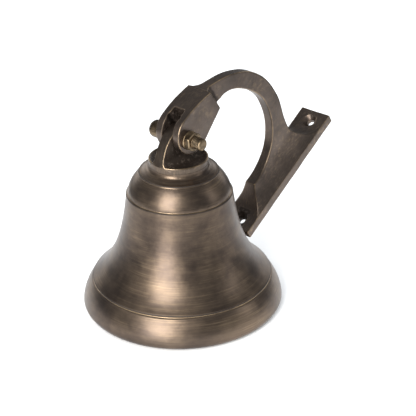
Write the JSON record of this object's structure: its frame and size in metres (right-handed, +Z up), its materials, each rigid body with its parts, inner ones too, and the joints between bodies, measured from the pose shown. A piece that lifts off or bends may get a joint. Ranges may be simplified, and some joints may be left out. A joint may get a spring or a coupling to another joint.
{
  "type": "ship bell",
  "caption": "Flared brass bell on a folding wall bracket: a fork and bolt carry the bell, and a ball clapper hangs from an eye inside.",
  "frame": {"origin": "centre of the bell's mouth, in the plane that it stands on", "axes": "+Z up the bell's axis; the hinge bolt runs along X with its nut at +X; the bracket folds out towards +Y"},
  "size_m": [0.1, 0.1592, 0.1118],
  "materials": {
    "bell_brass": "antique brown patina over turned brass, satin",
    "bracket_brass": "antique brown patina over cast brass, satin, worn edges",
    "fastener_brass": "olive aged brass, satin",
    "clapper_brass": "dull brass, satin"
  },
  "bodies": {
    "bell": {"bell": "bell_brass", "clapper_eye_bolt": "clapper_brass", "eye_lock_nut": "clapper_brass"},
    "bracket": {"wall_bracket": "bracket_brass", "hinge_bolt": "fastener_brass", "hinge_washer": "fastener_brass", "hinge_nut": "fastener_brass"},
    "link": {"clapper_link": "clapper_brass"},
    "clapper": {"clapper_rod": "clapper_brass", "clapper_ball": "clapper_brass"}
  },
  "joints": [
    {"name": "bracket_hinge", "type": "hinge", "parent": "bell", "child": "bracket", "pos_m": [0, 0, 0.0907], "axis": [1, 0, 0], "range_deg": [0, 105]},
    {"name": "link_swing", "type": "hinge", "parent": "bell", "child": "link", "pos_m": [0, 0, 0.0574], "axis": [1, 0, 0], "range_deg": [-36, 36]},
    {"name": "clapper_swing", "type": "hinge", "parent": "link", "child": "clapper", "pos_m": [0, 0, 0.0513], "axis": [0, 1, 0], "range_deg": [-12, 12]}
  ]
}
